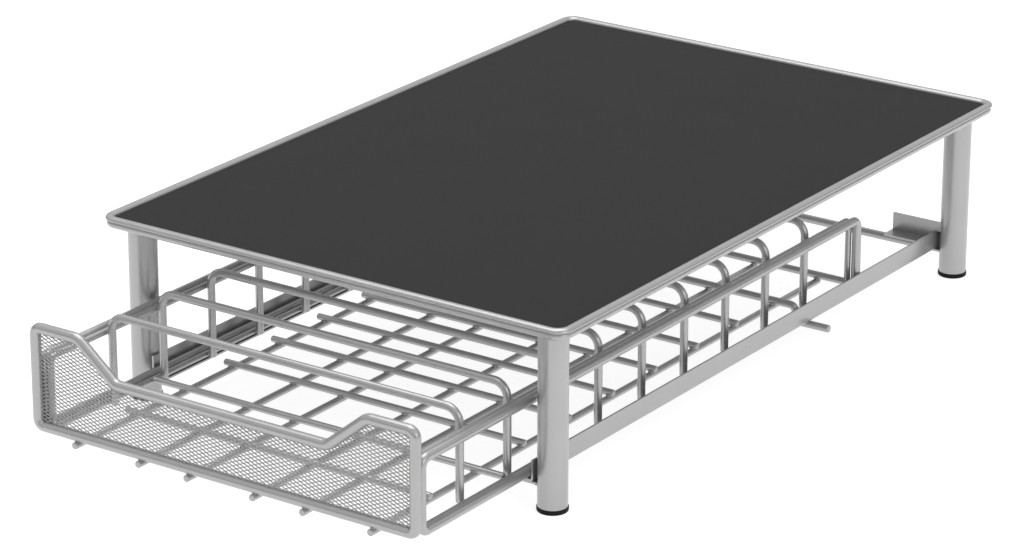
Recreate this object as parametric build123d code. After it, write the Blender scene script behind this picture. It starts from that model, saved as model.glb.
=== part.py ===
from build123d import *
from math import sqrt
import os

# Pull-out wire drawer for disc-shaped coffee pods, under a low stand whose top carries a coffee maker.
# Millimetres. X is the width, Y the depth (front at -Y), Z up from the surface the stand rests on.
# Pieces are drawn with Y = 0 at the middle of the stand, and the drawer's own pieces with Y = 0 at the
# middle of its front frame. Everything is moved at the end so that Y = 0 is the middle of the whole
# object with its drawer partly open.

# ---------------------------------------------------------------- driving dimensions: stand
STAND_W = 300.0          # outside of the rim
STAND_D = 450.0
STAND_H = 106.0
RIM_W = 5.0              # seen from above
RIM_CORNER_R = 9.0
UPPER_BEAD_H = 2.6
LOWER_BEAD_H = 3.8
LOWER_BEAD_INSET = 0.7
BEAD_ROUND = 1.2         # outer edge, away from the groove
GROOVE_ROUND = 0.5       # edge beside the groove

MAT_T = 1.6
MAT_BELOW_RIM = 2.0
MAT_CORNER_R = 4.6
DECK_T = 1.2

LEG_D = 16.0
LEG_WALL = 1.2
LEG_X = 133.4            # axis
LEG_Y = 208.6
FOOT_H = 2.7
FOOT_D = 16.8
FOOT_PLUG_H = 9.0

RAIL_T = 1.2             # sheet
RAIL_OUTER_X = 124.9
RAIL_FLOOR_W = 10.1
RAIL_BOTTOM_Z = 15.2
RAIL_TOP_Z = 27.2
RAIL_FRONT_Y = -214.1
RAIL_REAR_Y = 215.0
BRACKET_INNER_X = 118.0  # plate under the rail, out to the leg
BRACKET_HALF = 5.2       # each side of the leg's axis

REAR_BAR_D = 4.9
REAR_BAR_Y = 197.2
STOP_INNER_X = 96.2
STOP_FRONT_Y = 191.7
STOP_T = 1.3
STOP_FLOOR_D = 11.8
STOP_RISE = 10.2

# ---------------------------------------------------------------- driving dimensions: drawer
CLOSED_FRONT_Y = -238.3  # front frame's plane with the drawer shut
DRAWER_OUT = 72.3        # how far it is pulled out as drawn

FRAME_D = 6.0            # front frame tube
FRAME_X = 121.6          # posts' axis
FRAME_BOTTOM_Z = 20.8
FRAME_TOP_Z = 75.6
DIP_Z = 55.4
DIP_TOP_X = 92.8
DIP_BOTTOM_X = 68.0
FRAME_CORNER_R = 4.0
DIP_BEND_R = 8.0

MESH_T = 0.8
MESH_BORDER = 2.4
MESH_LONG = 9.6          # diamond pitch across
MESH_SHORT = 4.2         # diamond pitch upwards
MESH_STRAND = 1.2

LOOP_X = 120.8           # outer side loop's plane
LOOP_BOTTOM = 16.7       # underside of both side loops
OUTER_LOOP_D = 5.2
OUTER_LOOP_TOP = 61.2    # outside of the top run
OUTER_LOOP_REAR = 429.7  # outside of the rear upright, behind the front frame
OUTER_LOOP_BEND_R = 4.6
INNER_LOOP_D = 3.6
INNER_LOOP_TOP = 60.2
INNER_LOOP_REAR = 427.1
INNER_LOOP_BEND_R = 4.0

DIVIDER_D = 4.4
DIVIDER_COUNT = 9
DIVIDER_PITCH = 41.65
DIVIDER_FIRST = 50.0
DIVIDER_TOP_Z = 68.2
DIVIDER_FOOT_Z = 17.6
DIVIDER_BEND_R = 8.0

FLOOR_D = 3.8            # floor wires and cross wires
FLOOR_X = (21.2, 53.0, 95.4)
CROSS_BEFORE_DIVIDER = 6.1
CROSS_END_X = 99.0
LONG_CROSS = 1           # place, from the front, of the one that reaches the side loops
HOOK_CROSS = 8           # place of the one with hooked ends
HOOK_D = 4.4
HOOK_TIP_X = 133.6
HOOK_DROP_X = 111.4
HOOK_Z = 10.9
HOOK_BEND_R = 3.6
BACK_BAR_D = 4.2
BACK_BAR_Y = 426.7

# ---------------------------------------------------------------- worked out from them
DECK_TOP_Z = STAND_H - MAT_BELOW_RIM - MAT_T
DECK_BOTTOM_Z = DECK_TOP_Z - DECK_T
UPPER_BEAD_Z = STAND_H - UPPER_BEAD_H
LOWER_BEAD_Z = UPPER_BEAD_Z - LOWER_BEAD_H
INNER_W = STAND_W - 2 * RIM_W
INNER_D = STAND_D - 2 * RIM_W
RAIL_INNER_X = RAIL_OUTER_X - RAIL_T
RAIL_FLOOR_Z = RAIL_BOTTOM_Z + RAIL_T
REAR_BAR_Z = RAIL_FLOOR_Z + REAR_BAR_D / 2
STOP_Z = REAR_BAR_Z + REAR_BAR_D / 2

FRONT_Y = CLOSED_FRONT_Y - DRAWER_OUT
# The two loops touch along their top runs, whose axes are not quite level.
LOOP_TOP_STEP = (OUTER_LOOP_TOP - OUTER_LOOP_D / 2) - (INNER_LOOP_TOP - INNER_LOOP_D / 2)
INNER_LOOP_X = LOOP_X - sqrt(((OUTER_LOOP_D + INNER_LOOP_D) / 2) ** 2 - LOOP_TOP_STEP**2)
INNER_FACE_X = INNER_LOOP_X - INNER_LOOP_D / 2
DIVIDER_X = INNER_FACE_X - DIVIDER_D / 2
FLOOR_Z = FRAME_BOTTOM_Z - (FRAME_D + FLOOR_D) / 2
CROSS_Z = FLOOR_Z + FLOOR_D
HOOK_TOP_Z = FLOOR_Z + (FLOOR_D + HOOK_D) / 2
BACK_BAR_Z = FLOOR_Z + (FLOOR_D + BACK_BAR_D) / 2
FLOOR_REAR = BACK_BAR_Y + BACK_BAR_D / 2

OBJECT_FRONT_Y = FRONT_Y - FRAME_D / 2
OBJECT_REAR_Y = STAND_D / 2
TO_MIDDLE = -(OBJECT_FRONT_Y + OBJECT_REAR_Y) / 2

LEG_PLACES = {
    "front_left": (-LEG_X, -LEG_Y),
    "front_right": (LEG_X, -LEG_Y),
    "rear_left": (-LEG_X, LEG_Y),
    "rear_right": (LEG_X, LEG_Y),
}
SIDES = {"left": -1, "right": 1}


# ---------------------------------------------------------------- shared shapes
def block(x, y, z):
    """A box given by its low and high value along each axis."""
    size = (x[1] - x[0], y[1] - y[0], z[1] - z[0])
    middle = ((x[0] + x[1]) / 2, (y[0] + y[1]) / 2, (z[0] + z[1]) / 2)
    return Pos(*middle) * Box(*size)


def side_block(side, x, y, z):
    """The same, with x counted outward from the middle on the side given by -1 or 1."""
    return block(sorted((side * x[0], side * x[1])), y, z)


def upright(x, y, diameter, z):
    return Pos(x, y, z[0]) * extrude(Circle(diameter / 2), z[1] - z[0])


def wire(path, diameter):
    """Round wire or tube along a path of runs and bends."""
    section = Plane(path @ 0, z_dir=path % 0) * Circle(diameter / 2)
    return sweep(section, path)


def straight(start, end, diameter):
    return wire(Line(start, end), diameter)


def bent(points, radii, diameter, closed=False):
    return wire(FilletPolyline(*points, radius=radii, close=closed), diameter)


def slab(width, depth, corner, z, height):
    return Pos(0, 0, z) * extrude(RectangleRounded(width, depth, corner), height)


# ---------------------------------------------------------------- stand
def rim_bead(width, depth, corner, z, height, round_below, round_above):
    """One rounded bead of the rim, open in the middle for the deck and the mat."""
    outside = slab(width, depth, corner, z, height)
    outside = fillet(outside.edges().group_by(Axis.Z)[0], round_below)
    outside = fillet(outside.edges().group_by(Axis.Z)[-1], round_above)
    return outside - slab(INNER_W, INNER_D, MAT_CORNER_R, z - 1, height + 2)


def leg(x, y):
    z = (FOOT_H, DECK_BOTTOM_Z)
    return upright(x, y, LEG_D, z) - upright(x, y, LEG_D - 2 * LEG_WALL, z)


def foot(x, y):
    """Plastic cap with a plug that goes up inside the leg."""
    pad = upright(x, y, FOOT_D, (0, FOOT_H))
    pad = fillet(pad.edges().group_by(Axis.Z)[0], 0.8)
    return pad + upright(x, y, LEG_D - 2 * LEG_WALL - 0.1, (FOOT_H, FOOT_PLUG_H))


def rail_wall(side):
    """Upright part of the angle strip that the drawer runs in."""
    y = (RAIL_FRONT_Y, RAIL_REAR_Y)
    return side_block(side, (RAIL_INNER_X, RAIL_OUTER_X), y, (RAIL_BOTTOM_Z, RAIL_TOP_Z))


def rail_floor(side):
    """Flat part of the same strip, which carries the drawer's side loops."""
    y = (RAIL_FRONT_Y, RAIL_REAR_Y)
    return side_block(side, (RAIL_OUTER_X - RAIL_FLOOR_W, RAIL_INNER_X), y, (RAIL_BOTTOM_Z, RAIL_FLOOR_Z))


def rail_bracket(leg_x, leg_y):
    """Plate under the rail's end, cut round the leg that it meets."""
    side = 1 if leg_x > 0 else -1
    y = (leg_y - BRACKET_HALF, leg_y + BRACKET_HALF)
    plate = side_block(side, (BRACKET_INNER_X, LEG_X), y, (RAIL_BOTTOM_Z - RAIL_T, RAIL_BOTTOM_Z))
    return plate - upright(leg_x, leg_y, LEG_D, (0, STAND_H))


def rear_stop(side):
    """Angle plate on the cross bar, its upper edge carried over the rail to the leg."""
    floor_y = (STOP_FRONT_Y, STOP_FRONT_Y + STOP_FLOOR_D)
    back_y = (floor_y[1] - STOP_T, floor_y[1])
    x = (STOP_INNER_X, RAIL_INNER_X)
    plate = side_block(side, x, floor_y, (STOP_Z, STOP_Z + STOP_T))
    plate += side_block(side, x, back_y, (STOP_Z, STOP_Z + STOP_T + STOP_RISE))
    plate += side_block(side, (STOP_INNER_X, LEG_X), back_y, (RAIL_TOP_Z, STOP_Z + STOP_T + STOP_RISE))
    return plate - upright(side * LEG_X, LEG_Y, LEG_D, (0, STAND_H))


def stand_parts():
    parts = {
        "top_mat": slab(INNER_W, INNER_D, MAT_CORNER_R, DECK_TOP_Z, MAT_T),
        "deck_plate": slab(INNER_W, INNER_D, MAT_CORNER_R, DECK_BOTTOM_Z, DECK_T),
        "rim_upper_bead": rim_bead(
            STAND_W, STAND_D, RIM_CORNER_R, UPPER_BEAD_Z, UPPER_BEAD_H, GROOVE_ROUND, BEAD_ROUND
        ),
        "rim_lower_bead": rim_bead(
            STAND_W - 2 * LOWER_BEAD_INSET,
            STAND_D - 2 * LOWER_BEAD_INSET,
            RIM_CORNER_R - LOWER_BEAD_INSET,
            LOWER_BEAD_Z,
            LOWER_BEAD_H,
            BEAD_ROUND,
            GROOVE_ROUND,
        ),
    }
    for place, (x, y) in LEG_PLACES.items():
        parts["leg_" + place] = leg(x, y)
        parts["foot_" + place] = foot(x, y)
        parts["rail_bracket_" + place] = rail_bracket(x, y)
    bar_ends = [(x, REAR_BAR_Y, REAR_BAR_Z) for x in (-RAIL_INNER_X, RAIL_INNER_X)]
    parts["rear_cross_bar"] = straight(*bar_ends, REAR_BAR_D)
    for name, side in SIDES.items():
        parts["rail_wall_" + name] = rail_wall(side)
        parts["rail_floor_" + name] = rail_floor(side)
        parts["rear_stop_" + name] = rear_stop(side)
    return parts


# ---------------------------------------------------------------- drawer
def frame_outline():
    """Corners of the front frame's centre line, anticlockwise from the bottom left, as (x, z)."""
    right = [
        (FRAME_X, FRAME_BOTTOM_Z),
        (FRAME_X, FRAME_TOP_Z),
        (DIP_TOP_X, FRAME_TOP_Z),
        (DIP_BOTTOM_X, DIP_Z),
    ]
    return right + [(-x, z) for x, z in reversed(right)]


def frame_radii():
    right = [FRAME_CORNER_R, FRAME_CORNER_R, DIP_BEND_R, DIP_BEND_R]
    return right + right[::-1]


def front_frame():
    points = [(x, 0, z) for x, z in frame_outline()]
    return bent(points, frame_radii(), FRAME_D, closed=True)


def mesh_sheet_face():
    """Flat face inside the front frame's tube, drawn in the XY plane."""
    centre_line = FilletPolyline(*frame_outline(), radius=frame_radii(), close=True)
    return offset(make_face(centre_line), -FRAME_D / 2)


def front_mesh():
    """Expanded metal: one sheet with staggered diamond gaps."""
    sheet = mesh_sheet_face().faces()[0]
    field = offset(sheet, -MESH_BORDER).faces()[0]
    half_long = (MESH_LONG - MESH_STRAND * MESH_LONG / MESH_SHORT * 0.55) / 2
    half_short = (MESH_SHORT - MESH_STRAND) / 2
    corners = [(half_long, 0), (0, half_short), (-half_long, 0), (0, -half_short)]
    gaps = []
    rows = int((FRAME_TOP_Z - FRAME_BOTTOM_Z) / (MESH_SHORT / 2)) + 1
    columns = int(FRAME_X / MESH_LONG) + 1
    for row in range(rows):
        z = FRAME_BOTTOM_Z + FRAME_D / 2 + MESH_BORDER + (row + 1) * MESH_SHORT / 2
        for column in range(-columns, columns + 1):
            x = (column + (row % 2) / 2) * MESH_LONG
            points = [Vector(x + dx, z + dz) for dx, dz in corners]
            if all(field.is_inside(point) for point in points):
                gaps.append(Wire.make_polygon(points, close=True))
    print("front_mesh gaps:", len(gaps))
    holed = Face(sheet.outer_wire(), gaps)
    return Pos(0, MESH_T / 2, 0) * Rot(90, 0, 0) * extrude(holed, MESH_T)


def side_loop(x, rear, top, diameter, bend):
    """Closed upright rectangle of wire behind the front frame's post, given by its outside."""
    radius = diameter / 2
    front_y = FRAME_D / 2 + radius
    rear_y = rear - radius
    bottom_z = LOOP_BOTTOM + radius
    top_z = top - radius
    corners = [(x, front_y, bottom_z), (x, rear_y, bottom_z), (x, rear_y, top_z), (x, front_y, top_z)]
    return bent(corners, [bend] * 4, diameter, closed=True)


def divider(y):
    corners = [
        (-DIVIDER_X, y, DIVIDER_FOOT_Z),
        (-DIVIDER_X, y, DIVIDER_TOP_Z),
        (DIVIDER_X, y, DIVIDER_TOP_Z),
        (DIVIDER_X, y, DIVIDER_FOOT_Z),
    ]
    return bent(corners, [DIVIDER_BEND_R] * 2, DIVIDER_D)


def cross_wire(y, end_x):
    return straight((-end_x, y, CROSS_Z), (end_x, y, CROSS_Z), FLOOR_D)


def hook_wire(y):
    """Cross wire whose ends drop and turn out under the rails, where they meet the front legs."""
    right = [(HOOK_DROP_X, y, HOOK_TOP_Z), (HOOK_DROP_X, y, HOOK_Z), (HOOK_TIP_X, y, HOOK_Z)]
    left = [(-x, y, z) for x, y, z in reversed(right)]
    return bent(left + right, [HOOK_BEND_R] * 4, HOOK_D)


def drawer_parts():
    parts = {"front_frame": front_frame(), "front_mesh": front_mesh()}
    for name, side in SIDES.items():
        outer = (OUTER_LOOP_REAR, OUTER_LOOP_TOP, OUTER_LOOP_D, OUTER_LOOP_BEND_R)
        inner = (INNER_LOOP_REAR, INNER_LOOP_TOP, INNER_LOOP_D, INNER_LOOP_BEND_R)
        parts["side_loop_" + name] = side_loop(side * LOOP_X, *outer)
        parts["inner_loop_" + name] = side_loop(side * INNER_LOOP_X, *inner)

    divider_ys = [DIVIDER_FIRST + DIVIDER_PITCH * place for place in range(DIVIDER_COUNT)]
    for place, y in enumerate(divider_ys):
        parts[f"divider_{place + 1}"] = divider(y)

    floor_xs = [-x for x in reversed(FLOOR_X)] + list(FLOOR_X)
    for place, x in enumerate(floor_xs):
        ends = [(x, y, FLOOR_Z) for y in (-FRAME_D / 2, FLOOR_REAR)]
        parts[f"floor_wire_{place + 1}"] = straight(*ends, FLOOR_D)

    cross_ys = [y - CROSS_BEFORE_DIVIDER for y in divider_ys]
    short = [y for place, y in enumerate(cross_ys) if place not in (LONG_CROSS, HOOK_CROSS)]
    parts["short_cross_wires"] = Compound(children=[cross_wire(y, CROSS_END_X) for y in short])
    parts["long_cross_wire"] = cross_wire(cross_ys[LONG_CROSS], INNER_FACE_X)
    parts["hook_wire"] = hook_wire(cross_ys[HOOK_CROSS])

    back_ends = [(x, BACK_BAR_Y, BACK_BAR_Z) for x in (-INNER_FACE_X, INNER_FACE_X)]
    parts["back_bar"] = straight(*back_ends, BACK_BAR_D)
    return parts


# ---------------------------------------------------------------- write one file for each piece
os.makedirs("parts", exist_ok=True)
moves = ((stand_parts(), TO_MIDDLE), (drawer_parts(), FRONT_Y + TO_MIDDLE))
for pieces, shift in moves:
    for node, shape in pieces.items():
        export_step(Pos(0, shift, 0) * shape, f"parts/{node}.step")
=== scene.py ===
import math

import bmesh
import bpy
from bpy.props import FloatProperty, FloatVectorProperty, IntProperty, PointerProperty
from mathutils import Matrix, Vector


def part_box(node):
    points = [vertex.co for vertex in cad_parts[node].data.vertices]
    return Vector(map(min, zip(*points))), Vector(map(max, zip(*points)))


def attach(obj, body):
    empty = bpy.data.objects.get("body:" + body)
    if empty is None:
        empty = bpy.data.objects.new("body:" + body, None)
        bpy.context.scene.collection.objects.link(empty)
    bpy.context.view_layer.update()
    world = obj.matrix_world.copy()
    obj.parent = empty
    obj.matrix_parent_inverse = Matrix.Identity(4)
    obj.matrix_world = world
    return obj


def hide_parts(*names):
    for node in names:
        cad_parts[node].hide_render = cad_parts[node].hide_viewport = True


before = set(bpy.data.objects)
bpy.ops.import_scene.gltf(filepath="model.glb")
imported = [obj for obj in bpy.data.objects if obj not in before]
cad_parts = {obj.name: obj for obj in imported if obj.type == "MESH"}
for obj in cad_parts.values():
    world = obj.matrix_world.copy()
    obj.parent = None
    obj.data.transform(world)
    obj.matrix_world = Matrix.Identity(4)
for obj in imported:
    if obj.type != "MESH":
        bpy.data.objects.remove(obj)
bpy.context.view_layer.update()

bl_info = {
    "name": "Coffee Pod Drawer",
    "version": (1, 0, 0),
    "blender": (4, 5, 0),
    "location": "View3D > Sidebar > Pod Drawer",
    "description": "Builds the finished look of a pull-out wire drawer and the stand over it",
    "category": "Object",
}

# Everything is in metres: X to the right, Y to the rear, Z up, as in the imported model.
MM = 0.001
UP = Vector((0, 0, 1))
REAR = Vector((0, 1, 0))
RIGHT = Vector((1, 0, 0))
LEG_PLACES = ("front_left", "front_right", "rear_left", "rear_right")
SIDES = {"left": -1, "right": 1}  # the sign of X on each side
DIVIDERS = [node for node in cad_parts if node.startswith("divider_")]
FLOOR_WIRES = [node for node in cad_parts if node.startswith("floor_wire_")]

# How finely round things are drawn.
BEND_STEPS = 8
CORNER_STEPS = 10
CROWN_STEPS = 16
TURNED_SIDES = 56
RING_SIDES = 96

# How many lumps of weld lie along each joint that is longer than one lump.
LEG_WELD_LUMPS = 7
STOP_WELD_LUMPS = 3
LOOP_WELD_LUMPS = 12
POST_WELD_LUMPS = 5

# Half widths of a lump of weld along X, Y and Z, as shares of the weld size.
WELD_SHAPES = {
    "leg": (0.75, 0.75, 0.4),  # a rail's bracket round a leg
    "bar": (0.8, 1.2, 0.35),  # the end of the rear bar on a rail
    "stop": (1, 1.3, 0.4),  # a rear stop on the rear bar
    "crossing": (1, 1, 0.55),  # a wire across a floor wire
    "front": (1, 1.2, 0.5),  # a floor wire under the front tube
    "divider": (0.55, 1, 1),  # a divider on an inner loop
    "loop": (0.5, 1.6, 0.6),  # an inner loop along an outer one
    "post": (0.8, 0.5, 1.3),  # an outer loop behind the front tube
}


def linear(hex_colour):
    """Turns an sRGB hex colour to the linear red, green and blue that Blender works in."""
    channels = [int(hex_colour[place:place + 2], 16) / 255 for place in (1, 3, 5)]
    return tuple(c / 12.92 if c <= 0.04045 else ((c + 0.055) / 1.055) ** 2.4 for c in channels)


def colour_property(name, description, hex_colour):
    return FloatVectorProperty(
        name=name,
        description=description,
        subtype="COLOR",
        size=3,
        min=0,
        max=1,
        default=linear(hex_colour),
    )


def length_property(name, description, millimetres, low=0.0, high=1000.0):
    return FloatProperty(
        name=name,
        description=description,
        unit="LENGTH",
        precision=5,
        default=millimetres * MM,
        min=low * MM,
        max=high * MM,
    )


# ---------------------------------------------------------------- what a user may change
class StandSettings(bpy.types.PropertyGroup):
    """Sizes and colours of the stand."""

    mat_colour: colour_property("Mat colour", "Colour of the flat mat on top", "#2E2E2E")
    mat_corner: length_property("Mat corner", "Radius of the mat's corners", 4.6, 1, 20)
    mat_edge: length_property("Mat edge rounding", "Radius of the mat's upper edge", 0.5, 0.05, 1.5)
    mat_grain: length_property("Mat grain", "Distance between the grains of the mat's surface", 0.9, 0.2, 5)
    coat_colour: colour_property("Coat colour", "Powder coat of the rim, legs and rails", "#ABABAB")
    rim_corner: length_property("Rim corner", "Radius of the rim's corners, outside", 9, 2, 40)
    upper_bead: length_property("Upper bead crown", "Height of the upper bead's round crown", 1.9, 0.2, 1.9)
    lower_bead: length_property("Lower bead rounding", "Radius of the lower bead's edges", 1.7, 0.2, 1.8)
    lower_bead_inset: length_property("Lower bead inset", "How far the lower bead stands back", 0.7, 0, 3)
    leg_weld: length_property("Leg weld", "Width of the weld round the top of each leg", 1.5, 0.3, 4)
    rail_face: length_property("Rail face", "From the middle to a rail's outer face", 124.9, 100, 125.3)
    rail_floor: length_property("Rail floor", "Width of the part of a rail that lies flat", 10.1, 4, 20)
    rail_sheet: length_property("Rail sheet", "Thickness of the rails' sheet", 1.2, 0.5, 2)
    rail_bend: length_property("Rail bend", "Outside radius of the bend along a rail", 1.7, 1.3, 3)
    foot_colour: colour_property("Foot colour", "Colour of the foot caps", "#0A0A0A")
    foot_round: length_property("Foot rounding", "Radius round the bottom of a foot cap", 0.8, 0.1, 1.2)


class DrawerSettings(bpy.types.PropertyGroup):
    """Sizes and colours of the drawer."""

    coat_colour: colour_property("Coat colour", "Powder coat of the drawer's wires", "#ABABAB")
    net_colour: colour_property("Net colour", "Powder coat of the expanded metal net", "#B4B4B4")
    frame_bend: length_property("Frame corner bend", "Axis radius of the front frame's corners", 4, 3.1, 20)
    dip_bend: length_property("Dip bend", "Axis radius at the top and foot of the dip", 8, 3.1, 30)
    dip_height: length_property("Dip height", "Height of the tube's axis along the front dip", 55.4, 30, 75)
    dip_top: length_property("Dip top", "From the middle to the dip's upper corners", 92.8, 40, 110)
    dip_foot: length_property("Dip foot", "From the middle to the dip's lower corners", 68, 20, 105)
    net_long: length_property("Net pitch across", "Distance between gaps of the net, across", 4.8, 2, 20)
    net_short: length_property("Net pitch upward", "Distance between gaps of the net, upward", 2.1, 1, 10)
    net_strand: length_property("Net strand", "Height of a strand of the net", 0.55, 0.2, 2)
    net_thick: length_property("Net thickness", "Thickness of the net's sheet", 0.5, 0.2, 0.8)
    outer_bend: length_property("Outer loop bend", "Axis radius of the outer loops' corners", 4.6, 2.7, 20)
    inner_bend: length_property("Inner loop bend", "Axis radius of the inner loops' corners", 4, 1.9, 20)
    divider_bend: length_property("Divider bend", "Axis radius at the top of each divider", 8, 3, 20)
    hook_drop: length_property("Hook drop", "From the middle to the hooks' upright runs", 111.4, 90, 120)
    hook_bend: length_property("Hook bend", "Axis radius of the hooked cross wire's bends", 3.6, 2, 8)
    wire_end: length_property("Wire end rounding", "Rounding of the cut ends of the wires", 0.6, 0.1, 1.5)
    weld_size: length_property("Weld size", "Half width of the welds where wires cross", 1.5, 0.4, 3)
    tube_sides: IntProperty(name="Sides", description="Sides round each wire", default=24, min=8, max=64)


class StageSettings(bpy.types.PropertyGroup):
    """The floor, the lights and the camera."""

    floor_colour: colour_property("Floor colour", "Colour of the plain floor", "#F4F4F4")
    camera_place: FloatVectorProperty(
        name="Camera place",
        description="Where the camera stands",
        subtype="TRANSLATION",
        unit="LENGTH",
        default=(1.2123, -1.7572, 0.8526),
    )
    camera_forward: FloatVectorProperty(
        name="Camera direction",
        description="Which way the camera looks",
        subtype="DIRECTION",
        default=(-0.53303, 0.76881, -0.35329),
    )
    camera_right: FloatVectorProperty(
        name="Camera right",
        description="Which way is to the right in the picture",
        subtype="DIRECTION",
        default=(0.82137, 0.57039, 0.0020),
    )
    camera_lens: FloatProperty(
        name="Lens",
        description="Focal length in millimetres for a sensor 36 mm wide",
        subtype="DISTANCE_CAMERA",
        default=144.79,
        min=20,
    )
    floor_glow: FloatProperty(
        name="Floor glow",
        description="Light that comes up through the floor, so that shadows stay faint",
        default=0.92,
        min=0,
    )
    key_power: FloatProperty(
        name="Key light", description="Power of the large light overhead", unit="POWER", default=17, min=0
    )
    side_power: FloatProperty(
        name="Side light", description="Power of the light at the right", unit="POWER", default=6.5, min=0
    )
    sky_strength: FloatProperty(
        name="Room light", description="Strength of the light from the white ceiling", default=0.8, min=0
    )


# ---------------------------------------------------------------- finishes
def add_node(tree, kind, values=None, links=None, **settings):
    """Adds one node: its own settings, the values of its inputs, and what feeds its inputs."""
    node = tree.nodes.new(kind)
    for name, setting in settings.items():
        setattr(node, name, setting)
    for socket, value in (values or {}).items():
        node.inputs[socket].default_value = value
    for socket, source in (links or {}).items():
        tree.links.new(source, node.inputs[socket])
    return node


def empty_material(name):
    material = bpy.data.materials.new(name)
    material.use_nodes = True
    material.node_tree.nodes.clear()
    return material, material.node_tree


def shade(colour, factor):
    return tuple(channel * factor for channel in colour) + (1.0,)


def set_stops(ramp, *stops):
    """Sets the (position, colour) stops of a colour ramp."""
    for element, (position, colour) in zip(ramp.color_ramp.elements, stops):
        element.position, element.color = position, colour


def silver_powder_coat(name, colour):
    """Silver polyester powder coat on steel: sprayed on as powder and baked until it flows out.

    It holds fine aluminium flakes, so the eye gets a soft metallic shine. The cured skin keeps a
    faint orange peel that breaks up the edges of highlights, and its shade drifts a little.
    """
    material, tree = empty_material(name)
    place = add_node(tree, "ShaderNodeTexCoord").outputs["Object"]
    # Shade drifts over about 25 mm, as the coat's thickness does.
    drift = add_node(tree, "ShaderNodeTexNoise", {"Scale": 1 / (25 * MM), "Detail": 3.0}, {"Vector": place})
    # Aluminium flakes are about 0.03 mm, too fine to show, so they are drawn 0.4 mm apart.
    flakes = add_node(tree, "ShaderNodeTexVoronoi", {"Scale": 1 / (0.4 * MM)}, {"Vector": place})
    flake_contrast = 0.22
    mixed = add_node(
        tree,
        "ShaderNodeMath",
        {1: flake_contrast},
        {0: flakes.outputs["Color"], 2: drift.outputs["Fac"]},
        operation="MULTIPLY_ADD",
    )
    tone = add_node(tree, "ShaderNodeValToRGB", links={"Fac": mixed.outputs[0]})
    set_stops(tone, (0.35, shade(colour, 0.96)), (0.85, shade(colour, 1.03)))
    gloss = add_node(
        tree,
        "ShaderNodeMapRange",
        {"From Min": 0.3, "From Max": 0.7, "To Min": 0.27, "To Max": 0.33},
        {"Value": drift.outputs["Fac"]},
    )
    # Orange peel: shallow bumps about 1.2 mm apart.
    peel = add_node(tree, "ShaderNodeTexNoise", {"Scale": 1 / (1.2 * MM), "Detail": 1.5}, {"Vector": place})
    bump = add_node(
        tree, "ShaderNodeBump", {"Strength": 0.12, "Distance": 0.06 * MM}, {"Height": peel.outputs["Fac"]}
    )
    coat = add_node(
        tree,
        "ShaderNodeBsdfPrincipled",
        {"Metallic": 0.72, "Coat Weight": 0.15, "Coat Roughness": 0.15},
        {"Base Color": tone.outputs["Color"], "Roughness": gloss.outputs[0], "Normal": bump.outputs[0]},
    )
    add_node(tree, "ShaderNodeOutputMaterial", links={"Surface": coat.outputs[0]})
    return material


def embossed_pvc(name, colour, grain):
    """Soft PVC sheet, calendered between rollers that press in a fine leather grain.

    The eye gets an even, very matt dark grey, with a grain that only shows close up.
    """
    material, tree = empty_material(name)
    place = add_node(tree, "ShaderNodeTexCoord").outputs["Object"]
    cells = add_node(
        tree, "ShaderNodeTexVoronoi", {"Scale": 1 / grain}, {"Vector": place}, feature="SMOOTH_F1"
    )
    # The rollers' pressure, and so the shade, drifts over about 30 mm.
    haze = add_node(tree, "ShaderNodeTexNoise", {"Scale": 1 / (30 * MM), "Detail": 4.0}, {"Vector": place})
    tone = add_node(tree, "ShaderNodeValToRGB", links={"Fac": haze.outputs["Fac"]})
    set_stops(tone, (0, shade(colour, 0.96)), (1, shade(colour, 1.04)))
    gloss = add_node(
        tree,
        "ShaderNodeMapRange",
        {"To Min": 0.78, "To Max": 0.92},
        {"Value": cells.outputs["Distance"]},
    )
    bump = add_node(
        tree,
        "ShaderNodeBump",
        {"Strength": 0.2, "Distance": 0.08 * MM},
        {"Height": cells.outputs["Distance"]},
    )
    sheet = add_node(
        tree,
        "ShaderNodeBsdfPrincipled",
        {"IOR": 1.53, "Specular IOR Level": 0.12},
        {"Base Color": tone.outputs["Color"], "Roughness": gloss.outputs[0], "Normal": bump.outputs[0]},
    )
    add_node(tree, "ShaderNodeOutputMaterial", links={"Surface": sheet.outputs[0]})
    return material


def moulded_rubber(name, colour):
    """Thermoplastic rubber, moulded in a spark-eroded tool.

    The eye gets a deep black. Its colour is painted slightly grey on the high points of the fine pitted
    skin, a painted sheen where the skin would catch light.
    """
    material, tree = empty_material(name)
    place = add_node(tree, "ShaderNodeTexCoord").outputs["Object"]
    # The pits are about 0.1 mm apart, too fine to show, so they are drawn 0.3 mm apart.
    pits = add_node(tree, "ShaderNodeTexNoise", {"Scale": 1 / (0.3 * MM), "Detail": 2.0}, {"Vector": place})
    # Painted sheen: the noise that raises the pits also lightens the colour on their high points.
    tone = add_node(tree, "ShaderNodeValToRGB", links={"Fac": pits.outputs["Fac"]})
    set_stops(tone, (0, shade(colour, 0.8)), (1, shade(colour, 1.3)))
    bump = add_node(
        tree, "ShaderNodeBump", {"Strength": 0.3, "Distance": 0.05 * MM}, {"Height": pits.outputs["Fac"]}
    )
    skin = add_node(
        tree,
        "ShaderNodeBsdfPrincipled",
        {"IOR": 1.5, "Roughness": 0.62, "Specular IOR Level": 0.2},
        {"Base Color": tone.outputs["Color"], "Normal": bump.outputs[0]},
    )
    add_node(tree, "ShaderNodeOutputMaterial", links={"Surface": skin.outputs[0]})
    return material


def finish(name, make, *values):
    """The named material, made the first time that it is asked for."""
    return bpy.data.materials.get(name) or make(name, *values)


def stand_coat(context):
    return finish("stand_silver_powder_coat", silver_powder_coat, context.scene.pod_stand.coat_colour)


def drawer_coat(context):
    return finish("drawer_silver_powder_coat", silver_powder_coat, context.scene.pod_drawer.coat_colour)


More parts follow.
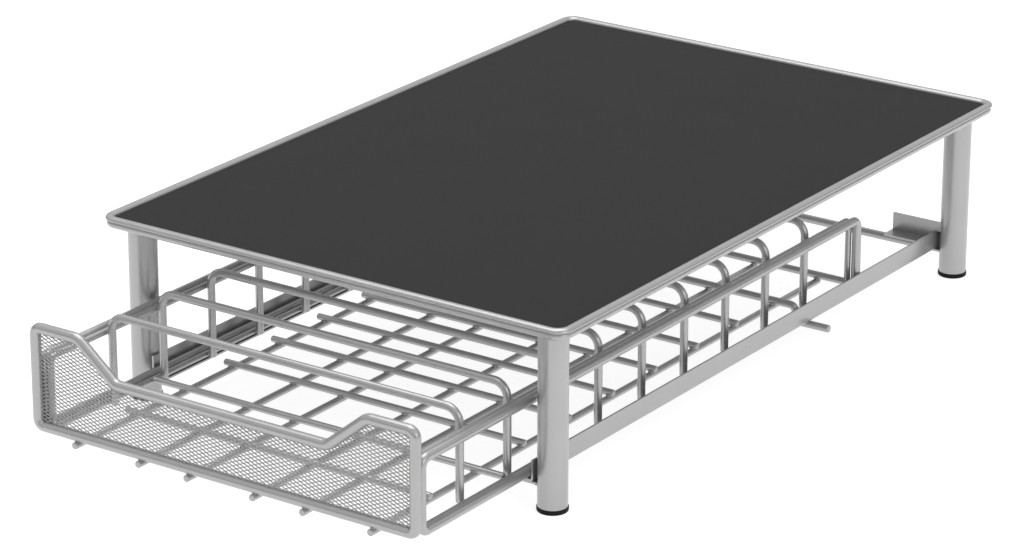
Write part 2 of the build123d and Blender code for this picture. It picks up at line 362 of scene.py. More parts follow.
def dress_nodes(material, *nodes):
    """Gives a finish to CAD nodes that keep their own shape."""
    for node in nodes:
        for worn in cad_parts[node].material_slots:
            worn.material = material


# ---------------------------------------------------------------- shapes
def make_piece(name, shape, material, body, replaced=(), crease=None):
    """Turns a bmesh into a piece that rides on a body and stands for CAD nodes.

    Edges that turn by more than the crease, in degrees, are drawn sharp.
    """
    mesh = bpy.data.meshes.new(name)
    shape.to_mesh(mesh)
    shape.free()
    mesh.shade_smooth()
    if crease is not None:
        mesh.set_sharp_from_angle(angle=math.radians(crease))
    mesh.materials.append(material)
    piece = bpy.data.objects.new(name, mesh)
    bpy.context.scene.collection.objects.link(piece)
    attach(piece, body)
    if replaced:
        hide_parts(*replaced)


def bridge(shape, rings, closed=False):
    """Skins faces between rings that have the same number of points."""
    following = rings[1:] + rings[:1] if closed else rings[1:]
    for one, other in zip(rings, following):
        for place in range(len(one)):
            after = (place + 1) % len(one)
            shape.faces.new((one[place], one[after], other[after], other[place]))


def centre_line(corners, bends, closed=False):
    """Points and directions along straight runs that are joined by round bends."""
    line = []
    count = len(corners)
    for place, corner in enumerate(corners):
        if not closed and place == 0:
            line.append((corner, (corners[1] - corner).normalized()))
            continue
        if not closed and place == count - 1:
            line.append((corner, (corner - corners[-2]).normalized()))
            continue
        before = (corner - corners[place - 1]).normalized()
        after = (corners[(place + 1) % count] - corner).normalized()
        turn = before.angle(after)
        inward = (after - before * before.dot(after)).normalized()
        bend = bends[place]
        centre = corner - before * bend * math.tan(turn / 2) + inward * bend
        for step in range(BEND_STEPS + 1):
            angle = turn * step / BEND_STEPS
            outward = before * math.sin(angle) - inward * math.cos(angle)
            line.append((centre + outward * bend, before * math.cos(angle) + inward * math.sin(angle)))
    return line


def add_wire(shape, corners, bends, radius, square, drawer, closed=False):
    """Skins a round wire along runs and bends in the plane that is square to a direction."""
    end_round, sides = drawer.wire_end, drawer.tube_sides
    stations = [(point, along, radius) for point, along in centre_line(corners, bends, closed)]
    if not closed:
        rounded = []
        for (point, along, _), outward in ((stations[0], -1), (stations[-1], 1)):
            end = []
            for angle in (math.radians(degrees) for degrees in (0, 30, 60, 90)):
                back = end_round * (1 - math.cos(angle))
                narrow = radius - end_round * (1 - math.sin(angle))
                end.append((point - along * outward * back, along, narrow))
            rounded.append(end)
        stations = rounded[0] + stations[1:-1] + rounded[1][::-1]
    rings = []
    angles = [math.tau * side / sides for side in range(sides)]
    for point, along, ring_radius in stations:
        across = square.cross(along)
        rings.append([
            shape.verts.new(point + (square * math.cos(angle) + across * math.sin(angle)) * ring_radius)
            for angle in angles
        ])
    bridge(shape, rings, closed)
    if not closed:
        shape.faces.new(rings[0][::-1])
        shape.faces.new(rings[-1])


def add_cross_wire(shape, low, high, drawer):
    """Adds a straight wire across the drawer that fills the given box."""
    radius = (high.y - low.y) / 2
    middle = (low + high) / 2
    ends = [Vector((x, middle.y, middle.z)) for x in (low.x, high.x)]
    add_wire(shape, ends, [0, 0], radius, REAR, drawer)


def make_wire(context, name, node, corners, bends, radius, square, closed=False):
    """Makes a bent wire of the drawer, as a piece that stands for one CAD node."""
    shape = bmesh.new()
    add_wire(shape, corners, bends, radius, square, context.scene.pod_drawer, closed)
    make_piece(name, shape, drawer_coat(context), "drawer", [node])


def add_weld(shape, joint, middle, size, seed):
    """Adds one lump of weld metal, a flattened ball whose sides are uneven."""
    unevenness = 0.12
    half_x, half_y, half_z = (size * share for share in WELD_SHAPES[joint])
    for vertex in bmesh.ops.create_icosphere(shape, subdivisions=2, radius=1.0)["verts"]:
        x, y, z = vertex.co
        wave = math.sin(3.1 * x + 1.7 * seed) * math.cos(2.7 * y + 0.9 * seed + z)
        vertex.co = middle + Vector((x * half_x, y * half_y, z * half_z)) * (1 + unevenness * wave)


def add_weld_ring(shape, middle, radius, top, width):
    """Adds a rippled bead of weld round an upright tube, where it meets a plate above it."""
    ripples, ripple_height = 16, 0.14
    flatness = 1.4  # 1 draws a quarter round, 2 a flat bevel
    overlap = 0.3 * MM
    inside = radius - overlap
    rings = []
    for side in range(RING_SIDES):
        turn = math.tau * side / RING_SIDES
        around = Vector((math.cos(turn), math.sin(turn), 0))
        reach = width * (1 + ripple_height * math.sin(ripples * turn))
        points = [(inside, top), (radius + reach, top)]
        for angle in (math.radians(degrees) for degrees in (25, 45, 65)):
            out = radius + reach * math.cos(angle) ** flatness
            points.append((out, top - reach * math.sin(angle) ** flatness))
        points += [(radius, top - reach), (inside, top - reach)]
        rings.append([shape.verts.new(middle + around * out + UP * height) for out, height in points])
    bridge(shape, rings, closed=True)


def round_corners(low, high, inset, corner):
    """Points round a rounded rectangle that lies in the box's sides, moved inward by the inset."""
    middle = (low + high) / 2
    half_x = (high.x - low.x) / 2 - inset - corner
    half_y = (high.y - low.y) / 2 - inset - corner
    points = []
    for quarter, (sign_x, sign_y) in enumerate(((1, 1), (-1, 1), (-1, -1), (1, -1))):
        for step in range(CORNER_STEPS + 1):
            angle = math.radians(90 * (quarter + step / CORNER_STEPS))
            x = sign_x * half_x + corner * math.cos(angle)
            y = sign_y * half_y + corner * math.sin(angle)
            points.append(Vector((middle.x + x, middle.y + y, 0)))
    return points


def add_plate(shape, low, high, corner, levels):
    """Adds a rounded plate from (inset, height) levels, the lowest first."""
    rings = []
    for inset, height in levels:
        outline = round_corners(low, high, inset, corner - inset)
        rings.append([shape.verts.new(point + UP * height) for point in outline])
    bridge(shape, rings)
    shape.faces.new(rings[0][::-1])
    shape.faces.new(rings[-1])


def sweep_round(shape, low, high, corner_inner, corner_outer, width, profile):
    """Carries a closed profile of (outward, height) points round a rounded rectangle."""
    inner = round_corners(low, high, width, corner_inner)
    outer = round_corners(low, high, 0, corner_outer)
    rings = []
    for near, far in zip(inner, outer):
        points = [near.lerp(far, out / width) + UP * height for out, height in profile]
        rings.append([shape.verts.new(point) for point in points])
    bridge(shape, rings, closed=True)
    bmesh.ops.recalc_face_normals(shape, faces=shape.faces)


def quarter_round(middle, radius, start, sweep=90, steps=6):
    """Points of an arc, anticlockwise from the start angle, in degrees."""
    across, up = middle
    angles = [math.radians(start + sweep * step / steps) for step in range(steps + 1)]
    return [(across + radius * math.cos(angle), up + radius * math.sin(angle)) for angle in angles]


def turned(shape, middle, profile):
    """Spins a profile of (radius, height) points round an upright axis, pole to pole."""
    bottom, *ringed, top = profile
    angles = [math.tau * side / TURNED_SIDES for side in range(TURNED_SIDES)]
    rings = []
    for radius, height in ringed:
        rings.append([
            shape.verts.new(middle + Vector((radius * math.cos(angle), radius * math.sin(angle), height)))
            for angle in angles
        ])
    bridge(shape, rings)
    for ring, (_, height) in ((rings[0], bottom), (rings[-1], top)):
        pole = shape.verts.new(middle + UP * height)
        for side in range(TURNED_SIDES):
            shape.faces.new((ring[side], ring[(side + 1) % TURNED_SIDES], pole))
    bmesh.ops.recalc_face_normals(shape, faces=shape.faces)


def is_inside(outline, x, z):
    """Whether a point lies inside a closed outline of (x, z) points."""
    inside = False
    for (x_a, z_a), (x_b, z_b) in zip(outline, outline[1:] + outline[:1]):
        if (z_a > z) != (z_b > z) and x < x_a + (z - z_a) * (x_b - x_a) / (z_b - z_a):
            inside = not inside
    return inside


def add_net_gap(shape, middle, corners, half_long, half_short, lean):
    """Adds the strands between a six-sided gap of the net and its left, top, right and low corner."""
    flat_tip_share = 0.16
    knuckle = half_long * flat_tip_share
    hole = [
        (-half_long, 0, 0),
        (-knuckle, -lean, half_short),
        (knuckle, -lean, half_short),
        (half_long, 0, 0),
        (knuckle, lean, -half_short),
        (-knuckle, lean, -half_short),
    ]
    left, top_left, top_right, right, low_right, low_left = (
        shape.verts.new(middle + Vector(point)) for point in hole
    )
    far_left, above, far_right, below = corners
    shape.faces.new((far_left, left, top_left, above))
    shape.faces.new((above, top_left, top_right))
    shape.faces.new((above, top_right, right, far_right))
    shape.faces.new((far_right, right, low_right, below))
    shape.faces.new((below, low_right, low_left))
    shape.faces.new((below, low_left, left, far_left))


def upright_tube(node):
    """Axis, at the height of the floor, and radius of an upright round CAD node."""
    low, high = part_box(node)
    return Vector(((low.x + high.x) / 2, (low.y + high.y) / 2, 0)), (high.x - low.x) / 2


def solids_of(node):
    """Low and high corner of each separate wire of a CAD node, from the front."""
    least_gap = 3 * MM
    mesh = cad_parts[node].data
    spans = []
    for vertex in sorted(mesh.vertices, key=lambda found: found.co.y):
        if spans and vertex.co.y - spans[-1][1].y < least_gap:
            low, high = spans[-1]
            spans[-1] = (Vector(map(min, low, vertex.co)), Vector(map(max, high, vertex.co)))
        else:
            spans.append((vertex.co.copy(), vertex.co.copy()))
    return spans


# ---------------------------------------------------------------- stand
class PODDRAWER_OT_top_mat(bpy.types.Operator):
    """Lays the dark grained mat on the deck, with a softly rounded upper edge"""

    bl_idname = "pod_drawer.top_mat"
    bl_label = "Top Mat"

    def execute(self, context):
        stand = context.scene.pod_stand
        low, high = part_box("top_mat")
        edge = stand.mat_edge
        arc = quarter_round((edge, high.z - edge), edge, 90)
        levels = [(0, low.z)] + arc[::-1]
        shape = bmesh.new()
        add_plate(shape, low, high, stand.mat_corner, levels)
        pvc = finish("embossed_dark_pvc", embossed_pvc, stand.mat_colour, stand.mat_grain)
        make_piece("grained_top_mat", shape, pvc, "stand", ["top_mat"], crease=50)
        return {"FINISHED"}


class PODDRAWER_OT_rim(bpy.types.Operator):
    """Runs the double-beaded rim round the deck and coats the deck plate"""

    bl_idname = "pod_drawer.rim"
    bl_label = "Rim and Deck"

    def execute(self, context):
        stand = context.scene.pod_stand
        low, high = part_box("rim_upper_bead")
        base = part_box("rim_lower_bead")[0].z
        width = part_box("deck_plate")[0].x - low.x
        upper, lower = stand.upper_bead, stand.lower_bead
        face = width - stand.lower_bead_inset
        # The section runs out along the foot, up the lower bead, into the groove between the
        # beads, round the underside of the upper one and back over its crown.
        profile = [(0, base), (face - lower, base)]
        profile += quarter_round((face - lower, base + lower), lower, -90)
        profile += quarter_round((face - lower, low.z - lower), lower, 0)[:-1]
        under = high.z - upper - low.z
        profile += quarter_round((width - under, high.z - upper), under, -60, 45, steps=3)
        crown = quarter_round((0, 0), 1, 0, 180, steps=CROWN_STEPS)
        profile += [(width / 2 * (1 + across), high.z - upper * (1 - up)) for across, up in crown]
        shape = bmesh.new()
        sweep_round(shape, low, high, stand.mat_corner, stand.rim_corner, width, profile)
        coat = stand_coat(context)
        beads = ["rim_upper_bead", "rim_lower_bead"]
        make_piece("beaded_rim", shape, coat, "stand", beads, crease=35)
        dress_nodes(coat, "deck_plate")
        return {"FINISHED"}


class PODDRAWER_OT_legs(bpy.types.Operator):
    """Coats the tube legs and runs a weld round the top of each, under the deck"""

    bl_idname = "pod_drawer.legs"
    bl_label = "Legs"

    def execute(self, context):
        width = context.scene.pod_stand.leg_weld
        coat = stand_coat(context)
        shape = bmesh.new()
        for place in LEG_PLACES:
            middle, radius = upright_tube("leg_" + place)
            add_weld_ring(shape, middle, radius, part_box("leg_" + place)[1].z, width)
            dress_nodes(coat, "leg_" + place)
        make_piece("leg_top_welds", shape, coat, "stand")
        return {"FINISHED"}


class PODDRAWER_OT_feet(bpy.types.Operator):
    """Turns the four moulded foot caps, with a rounded tread and a plug inside the leg"""

    bl_idname = "pod_drawer.feet"
    bl_label = "Foot Caps"

    def execute(self, context):
        stand = context.scene.pod_stand
        rubber = finish("foot_moulded_rubber", moulded_rubber, stand.foot_colour)
        tread = stand.foot_round
        recess, lip, chamfer, leg_wall = 0.5 * MM, 0.3 * MM, 1.0 * MM, 1.35 * MM
        recess_floor, recess_mouth = 0.42, 0.48  # shares of the cap's radius
        # From the middle out: the recess below, the rounded tread, the lip under the leg's end,
        # and the plug that stands up inside the leg.
        for place in LEG_PLACES:
            low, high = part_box("foot_" + place)
            middle, outside = upright_tube("foot_" + place)
            _, leg = upright_tube("leg_" + place)
            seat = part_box("leg_" + place)[0].z
            plug = leg - leg_wall
            profile = [(0, recess), (outside * recess_floor, recess), (outside * recess_mouth, low.z)]
            profile += quarter_round((outside - tread, low.z + tread), tread, -90)
            profile += quarter_round((outside - lip, seat - lip), lip, 0)
            profile += [(plug, seat), (plug, high.z - chamfer), (plug - chamfer, high.z), (0, high.z)]
            shape = bmesh.new()
            turned(shape, middle, profile)
            make_piece("cap_" + place, shape, rubber, "stand", ["foot_" + place], crease=50)
        return {"FINISHED"}


def rail_profile(stand, bottom, top):
    """Outline of a rail's bent sheet as (distance in from its outer face, height).

    It runs down the outer face, along the floor's underside, and back up inside.
    """
    sheet, bend, floor = stand.rail_sheet, stand.rail_bend, stand.rail_floor
    edge, least_inside = 0.25 * MM, 0.1 * MM
    inside = max(bend - sheet, least_inside)
    fold = sheet + inside
    profile = quarter_round((edge, top - edge), edge, 90, steps=3)
    profile += quarter_round((bend, bottom + bend), bend, 180)
    profile += quarter_round((floor - edge, bottom + edge), edge, 270, steps=3)
    profile += quarter_round((floor - edge, bottom + sheet - edge), edge, 0, steps=3)
    profile += quarter_round((fold, bottom + fold), inside, 270, -90)
    profile += quarter_round((sheet - edge, top - edge), edge, 0, steps=3)
    return profile


def add_prism(shape, outline, way):
    """Adds a solid from a closed outline of points, carried along a vector."""
    rings = [[shape.verts.new(point + step) for point in outline] for step in (Vector(), way)]
    bridge(shape, rings)
    shape.faces.new(rings[0])
    shape.faces.new(rings[1])
    bmesh.ops.recalc_face_normals(shape, faces=shape.faces)


class PODDRAWER_OT_rails(bpy.types.Operator):
    """Folds the rails and coats their brackets to the legs"""

    bl_idname = "pod_drawer.rails"
    bl_label = "Rails"

    def execute(self, context):
        stand = context.scene.pod_stand
        coat = stand_coat(context)
        for side, sign in SIDES.items():
            low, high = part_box("rail_wall_" + side)
            profile = rail_profile(stand, low.z, high.z)
            outline = [Vector((sign * (stand.rail_face - inward), low.y, z)) for inward, z in profile]
            shape = bmesh.new()
            add_prism(shape, outline, REAR * (high.y - low.y))
            folded = ["rail_wall_" + side, "rail_floor_" + side]
            make_piece("folded_rail_" + side, shape, coat, "stand", folded, crease=30)
        dress_nodes(coat, *("rail_bracket_" + place for place in LEG_PLACES))
        return {"FINISHED"}


class PODDRAWER_OT_rear_stops(bpy.types.Operator):
    """Coats the rear bar and its stops, and lays the welds of the rails, the bar and the stops"""

    bl_idname = "pod_drawer.rear_stops"
    bl_label = "Rear Stops and Welds"

    def execute(self, context):
        coat = stand_coat(context)
        size = context.scene.pod_drawer.weld_size
        shape = bmesh.new()
        bar_low, bar_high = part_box("rear_cross_bar")
        bar_y = (bar_low.y + bar_high.y) / 2
        plate_sink, bar_sink = 0.1 * MM, 0.3 * MM
        # The first weld of the bar and of a stop, and how far on each of the others lies.
        bar_start, bar_step = 3 * MM, 2.2 * MM
        stop_start, stop_step = 4 * MM, 8 * MM
        for side, sign in SIDES.items():
            # The welds of a leg take up this share of the depth of its bracket.
            for end, share, seed in (("front_", 3 / 3.4, 0), ("rear_", 3 / 4.5, 9)):
                low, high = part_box("rail_bracket_" + end + side)
                middle, radius = upright_tube("leg_" + end + side)
                for step in range(LEG_WELD_LUMPS):
                    y = (high.y - low.y) * share * (step / (LEG_WELD_LUMPS - 1) - 0.5)
                    out = math.sqrt(radius ** 2 - y ** 2)
                    spot = Vector((middle.x - sign * out, middle.y + y, low.z + plate_sink))
                    add_weld(shape, "leg", spot, size, step + seed)
            low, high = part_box("rear_stop_" + side)
            stop_inner = min(abs(low.x), abs(high.x))
            for step in range(STOP_WELD_LUMPS):
                on_rail = bar_high.x - bar_start - bar_step * step
                spot = Vector((sign * on_rail, bar_y, bar_low.z + bar_sink))
                add_weld(shape, "bar", spot, size, step)
                under_stop = stop_inner + stop_start + stop_step * step
                spot = Vector((sign * under_stop, bar_y, low.z))
                add_weld(shape, "stop", spot, size, step + STOP_WELD_LUMPS)
        dress_nodes(coat, "rear_cross_bar", "rear_stop_left", "rear_stop_right")
        make_piece("rail_welds", shape, coat, "stand")
        return {"FINISHED"}


# ---------------------------------------------------------------- drawer
def front_outline(context):
    """Corners (x, z) and bends of the front frame's axis, the tube's radius and its place along Y.

    Seen from the front, the corners run anticlockwise from the one at the bottom right.
    """
    drawer = context.scene.pod_drawer
    low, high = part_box("front_frame")
    radius = (high.y - low.y) / 2
    right = [
        (high.x - radius, low.z + radius),
        (high.x - radius, high.z - radius),
        (drawer.dip_top, high.z - radius),
        (drawer.dip_foot, drawer.dip_height),
    ]
    left = [(-x, z) for x, z in reversed(right)]
    bends = [drawer.frame_bend, drawer.frame_bend, drawer.dip_bend, drawer.dip_bend]
    return right + left, bends + bends[::-1], radius, (low.y + high.y) / 2


class PODDRAWER_OT_front_frame(bpy.types.Operator):
    """Bends the tube of the drawer's front, with its dip for the fingers"""

    bl_idname = "pod_drawer.front_frame"
    bl_label = "Front Frame"

    def execute(self, context):
        outline, bends, radius, y = front_outline(context)
        corners = [Vector((x, y, z)) for x, z in outline]
        make_wire(context, "front_tube_frame", "front_frame", corners, bends, radius, REAR, closed=True)
        return {"FINISHED"}


class PODDRAWER_OT_front_net(bpy.types.Operator):
    """Stretches the expanded metal net across the front frame"""

    bl_idname = "pod_drawer.front_net"
    bl_label = "Front Net"

    def execute(self, context):
        drawer = context.scene.pod_drawer
        outline, bends, _, y = front_outline(context)
        edge = centre_line([Vector((x, 0, z)) for x, z in outline], bends, closed=True)
        edge = [(point.x, point.z) for point, _ in edge]
        half_long, half_short = drawer.net_long / 2, drawer.net_short / 2
        open_share = 1 - drawer.net_strand / drawer.net_short
        lean = drawer.net_thick / 4
        front = y - drawer.net_thick / 2
        base = min(z for _, z in edge)
        columns = int(max(x for x, _ in edge) / half_long) + 1
        rows = int((max(z for _, z in edge) - base) / half_short) + 1
        beside = ((-1, 0), (0, 1), (1, 0), (0, -1))
        shape = bmesh.new()
        corners = {}

        def corner(across, up):
            """The point where four gaps meet, made the first time that it is asked for."""
            if (across, up) not in corners:
                corners[across, up] = shape.verts.new((across * half_long, front, base + up * half_short))
            return corners[across, up]

        for up in range(rows):
            for across in range(-columns, columns + 1):
                x, z = across * half_long, base + up * half_short
                if (across + up) % 2 or not is_inside(edge, x, z):
                    continue
                around = [corner(across + right, up + over) for right, over in beside]
                middle = Vector((x, front, z))
                add_net_gap(shape, middle, around, half_long * open_share, half_short * open_share, lean)
        if not shape.faces:
            raise RuntimeError("the net has no gaps: its pitch is larger than the front frame")
        region = bmesh.ops.extrude_face_region(shape, geom=shape.faces[:])["geom"]
        back = [item for item in region if isinstance(item, bmesh.types.BMVert)]
        bmesh.ops.translate(shape, verts=back, vec=REAR * drawer.net_thick)
        bmesh.ops.recalc_face_normals(shape, faces=shape.faces)
        coat = finish("net_silver_powder_coat", silver_powder_coat, drawer.net_colour)
        make_piece("expanded_metal_net", shape, coat, "drawer", ["front_mesh"], crease=40)
        return {"FINISHED"}


class PODDRAWER_OT_side_loops(bpy.types.Operator):
    """Bends the two loops of wire at each side of the drawer"""

    bl_idname = "pod_drawer.side_loops"
    bl_label = "Side Loops"

    def execute(self, context):
        drawer = context.scene.pod_drawer
        for side in SIDES:
            for ring, bend in (("side_loop_", drawer.outer_bend), ("inner_loop_", drawer.inner_bend)):
                node = ring + side
                low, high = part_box(node)
                radius = (high.x - low.x) / 2
                inset = Vector((radius, radius, radius))
                low, high = low + inset, high - inset
                corners = [
                    Vector((low.x, low.y, low.z)),
                    Vector((low.x, high.y, low.z)),
                    Vector((low.x, high.y, high.z)),
                    Vector((low.x, low.y, high.z)),
                ]
                make_wire(context, "bent_" + node, node, corners, [bend] * 4, radius, RIGHT, closed=True)
        return {"FINISHED"}


class PODDRAWER_OT_dividers(bpy.types.Operator):
    """Bends the hoops that part the drawer into rows"""

    bl_idname = "pod_drawer.dividers"
    bl_label = "Dividers"

    def execute(self, context):
        bend = context.scene.pod_drawer.divider_bend
        for node in DIVIDERS:
            low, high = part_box(node)
            radius = (high.y - low.y) / 2
            y = (low.y + high.y) / 2
            corners = [
                Vector((low.x + radius, y, low.z)),
                Vector((low.x + radius, y, high.z - radius)),
                Vector((high.x - radius, y, high.z - radius)),
                Vector((high.x - radius, y, low.z)),
            ]
            make_wire(context, "hoop_" + node, node, corners, [0, bend, bend, 0], radius, REAR)
        return {"FINISHED"}


class PODDRAWER_OT_floor_wires(bpy.types.Operator):
    """Lays the long floor wires, the cross wires on them, the hooked wire and the rear bar"""

    bl_idname = "pod_drawer.floor_wires"
    bl_label = "Floor Wires"

    def execute(self, context):
        drawer = context.scene.pod_drawer
        coat = drawer_coat(context)
        for node in FLOOR_WIRES:
            low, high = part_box(node)
            radius = (high.x - low.x) / 2
            middle = (low + high) / 2
            ends = [Vector((middle.x, y, middle.z)) for y in (low.y, high.y)]
            make_wire(context, "long_" + node, node, ends, [0, 0], radius, RIGHT)

        shape = bmesh.new()
        for low, high in solids_of("short_cross_wires"):
            add_cross_wire(shape, low, high, drawer)
        make_piece("laid_short_cross_wires", shape, coat, "drawer", ["short_cross_wires"])
        for node in ("long_cross_wire", "back_bar"):
            shape = bmesh.new()
            add_cross_wire(shape, *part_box(node), drawer)
            make_piece("laid_" + node, shape, coat, "drawer", [node])

        low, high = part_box("hook_wire")
        radius = (high.y - low.y) / 2
        y = (low.y + high.y) / 2
        drop = drawer.hook_drop
        right = [(drop, high.z - radius), (drop, low.z + radius), (high.x, low.z + radius)]
        left = [(-x, z) for x, z in reversed(right)]
        corners = [Vector((x, y, z)) for x, z in left + right]
        bends = [0] + [drawer.hook_bend] * 4 + [0]
        make_wire(context, "bent_hook_wire", "hook_wire", corners, bends, radius, REAR)
        return {"FINISHED"}


class PODDRAWER_OT_drawer_welds(bpy.types.Operator):
    """Puts a small weld at every place where two wires of the drawer touch"""

    bl_idname = "pod_drawer.drawer_welds"
    bl_label = "Drawer Welds"

    def execute(self, context):
        size = context.scene.pod_drawer.weld_size
        shape = bmesh.new()
        floor = [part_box(node) for node in FLOOR_WIRES]
        floor_top = floor[0][1].z
        cross = solids_of("short_cross_wires")
        cross += [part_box(node) for node in ("long_cross_wire", "hook_wire", "back_bar")]
        for row, (low, high) in enumerate(cross):
            y = (low.y + high.y) / 2
            for place, (wire_low, wire_high) in enumerate(floor):
                spot = Vector(((wire_low.x + wire_high.x) / 2, y, floor_top))
                add_weld(shape, "crossing", spot, size, row + place)

        frame_low, frame_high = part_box("front_frame")
        tube_y = (frame_low.y + frame_high.y) / 2
        post_offset = 0.4 * MM
        for place, (wire_low, wire_high) in enumerate(floor):
            spot = Vector(((wire_low.x + wire_high.x) / 2, tube_y, frame_low.z))
            add_weld(shape, "front", spot, size, place)

        for side, sign in SIDES.items():
            outer_low, outer_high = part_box("side_loop_" + side)
            inner_low, inner_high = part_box("inner_loop_" + side)
            outer_radius = (outer_high.x - outer_low.x) / 2
            inner_radius = (inner_high.x - inner_low.x) / 2
            outer_x = (outer_high.x + outer_low.x) / 2
            inner_x = (inner_high.x + inner_low.x) / 2
            levels = ((1, outer_low.z, inner_low.z), (-1, outer_high.z, inner_high.z))
            for up, outer_level, inner_level in levels:
                outer_axis = Vector((outer_x, 0, outer_level + up * outer_radius))
                inner_axis = Vector((inner_x, 0, inner_level + up * inner_radius))
                for place, node in enumerate(DIVIDERS):
                    low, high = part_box(node)
                    spot = Vector((inner_x - sign * inner_radius, (low.y + high.y) / 2, inner_axis.z))
                    add_weld(shape, "divider", spot, size, place)
                touch = outer_axis.lerp(inner_axis, outer_radius / (outer_radius + inner_radius))
                # Evenly from end to end.
                for step in range(LOOP_WELD_LUMPS):
                    share = (step + 0.6) / (LOOP_WELD_LUMPS + 0.2)
                    y = outer_low.y + (outer_high.y - outer_low.y) * share
                    add_weld(shape, "loop", touch + REAR * y, size, step)
            # From a fifth to four fifths of the way up.
            for step in range(POST_WELD_LUMPS):
                share = 0.2 + 0.15 * step
                z = outer_low.z + (outer_high.z - outer_low.z) * share
                spot = Vector((outer_x + sign * post_offset, frame_high.y, z))
                add_weld(shape, "post", spot, size, step)
        make_piece("drawer_welds", shape, drawer_coat(context), "drawer")
        return {"FINISHED"}


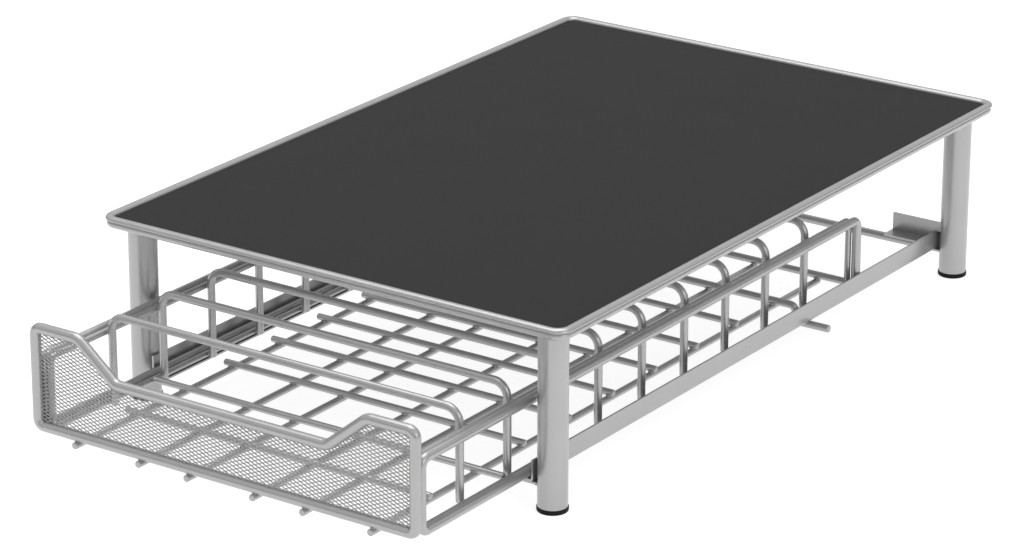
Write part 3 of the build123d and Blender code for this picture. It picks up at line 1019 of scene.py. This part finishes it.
# ---------------------------------------------------------------- stage
class PODDRAWER_OT_stage(bpy.types.Operator):
    """Sets up the pale floor, the soft studio lights and the camera"""

    bl_idname = "pod_drawer.stage"
    bl_label = "Stage"

    def execute(self, context):
        stage = context.scene.pod_stage
        scene = context.scene
        scene.view_settings.view_transform = "Standard"

        # The floor ends far out of view, and lies a touch lower than the feet.
        floor_reach, floor_gap = 8, 0.1 * MM
        shape = bmesh.new()
        bmesh.ops.create_grid(shape, x_segments=12, y_segments=12, size=floor_reach)
        mesh = bpy.data.meshes.new("studio_floor")
        shape.to_mesh(mesh)
        shape.free()
        floor = bpy.data.objects.new("studio_floor", mesh)
        floor.location.z = -floor_gap
        scene.collection.objects.link(floor)
        material, tree = empty_material("studio_floor_paint")
        # The paint is darker than it looks, because the glow adds most of its brightness.
        unlit_share = 0.4
        paint = add_node(
            tree,
            "ShaderNodeBsdfPrincipled",
            {
                "Base Color": shade(stage.floor_colour, unlit_share),
                "Roughness": 0.9,
                "Specular IOR Level": 0.1,
                "Emission Color": shade(stage.floor_colour, 1),
                "Emission Strength": stage.floor_glow,
            },
        )
        add_node(tree, "ShaderNodeOutputMaterial", links={"Surface": paint.outputs[0]})
        mesh.materials.append(material)

        self.add_light("key_light", stage.key_power, 1.6, place=(-0.2, 0.1, 1.7), target=(0, 0, 0))
        self.add_light("side_light", stage.side_power, 1.2, place=(2.1, -0.5, 0.9), target=(0, 0, 0.05))

        world = bpy.data.worlds.new("studio_room")
        world.use_nodes = True
        tree = world.node_tree
        tree.nodes.clear()
        # The room is dark up to 2 degrees above the floor and white from 17 degrees up. Wires and
        # tubes mirror the dark part as a line along their sides.
        way = add_node(tree, "ShaderNodeTexCoord").outputs["Generated"]
        parts = add_node(tree, "ShaderNodeSeparateXYZ", links={"Vector": way})
        wall = add_node(tree, "ShaderNodeValToRGB", links={"Fac": parts.outputs["Z"]})
        white = (1.0, 1.0, 1.0)
        set_stops(wall, (0.03, shade(white, 0.10)), (0.30, shade(white, 1)))
        room = add_node(
            tree, "ShaderNodeBackground", {"Strength": stage.sky_strength}, {"Color": wall.outputs["Color"]}
        )
        add_node(tree, "ShaderNodeOutputWorld", links={"Surface": room.outputs[0]})
        scene.world = world

        camera = bpy.data.cameras.new("photo_camera")
        camera.sensor_fit = "HORIZONTAL"
        camera.sensor_width = 36.0
        camera.lens = stage.camera_lens
        camera.clip_end = 50.0
        holder = bpy.data.objects.new("photo_camera", camera)
        forward = stage.camera_forward.normalized()
        above = stage.camera_right.cross(forward).normalized()
        right = forward.cross(above)
        turn = Matrix((right, above, -forward)).transposed().to_4x4()
        holder.matrix_world = Matrix.Translation(stage.camera_place) @ turn
        scene.collection.objects.link(holder)
        scene.camera = holder
        return {"FINISHED"}

    @staticmethod
    def add_light(name, power, width, place, target):
        """Hangs a square soft light at a place and turns it to the target."""
        light = bpy.data.lights.new(name, "AREA")
        light.shape = "SQUARE"
        light.size = width
        light.energy = power
        lamp = bpy.data.objects.new(name, light)
        lamp.location = place
        lamp.rotation_euler = (Vector(target) - Vector(place)).to_track_quat("-Z", "Y").to_euler()
        bpy.context.scene.collection.objects.link(lamp)


# ---------------------------------------------------------------- the add-on
OPERATORS = (
    PODDRAWER_OT_stage,
    PODDRAWER_OT_top_mat,
    PODDRAWER_OT_rim,
    PODDRAWER_OT_legs,
    PODDRAWER_OT_feet,
    PODDRAWER_OT_rails,
    PODDRAWER_OT_rear_stops,
    PODDRAWER_OT_front_frame,
    PODDRAWER_OT_front_net,
    PODDRAWER_OT_side_loops,
    PODDRAWER_OT_dividers,
    PODDRAWER_OT_floor_wires,
    PODDRAWER_OT_drawer_welds,
)


class PODDRAWER_PT_pieces(bpy.types.Panel):
    """Lists the pieces of the drawer and its stand"""

    bl_idname = "PODDRAWER_PT_pieces"
    bl_label = "Coffee Pod Drawer"
    bl_space_type = "VIEW_3D"
    bl_region_type = "UI"
    bl_category = "Pod Drawer"

    def draw(self, context):
        for operator in OPERATORS:
            self.layout.operator(operator.bl_idname)
        for settings in (context.scene.pod_stand, context.scene.pod_drawer, context.scene.pod_stage):
            column = self.layout.box().column()
            for name in settings.__annotations__:
                column.prop(settings, name)


SETTINGS = {"pod_stand": StandSettings, "pod_drawer": DrawerSettings, "pod_stage": StageSettings}


def register():
    for group in SETTINGS.values():
        bpy.utils.register_class(group)
    for operator in OPERATORS:
        bpy.utils.register_class(operator)
    bpy.utils.register_class(PODDRAWER_PT_pieces)
    for name, group in SETTINGS.items():
        setattr(bpy.types.Scene, name, PointerProperty(type=group))


def unregister():
    for name in SETTINGS:
        delattr(bpy.types.Scene, name)
    bpy.utils.unregister_class(PODDRAWER_PT_pieces)
    for operator in reversed(OPERATORS):
        bpy.utils.unregister_class(operator)
    for group in SETTINGS.values():
        bpy.utils.unregister_class(group)


def main():
    register()
    for operator in OPERATORS:
        group, name = operator.bl_idname.split(".")
        getattr(getattr(bpy.ops, group), name)()


if __name__ == "__main__":
    main()
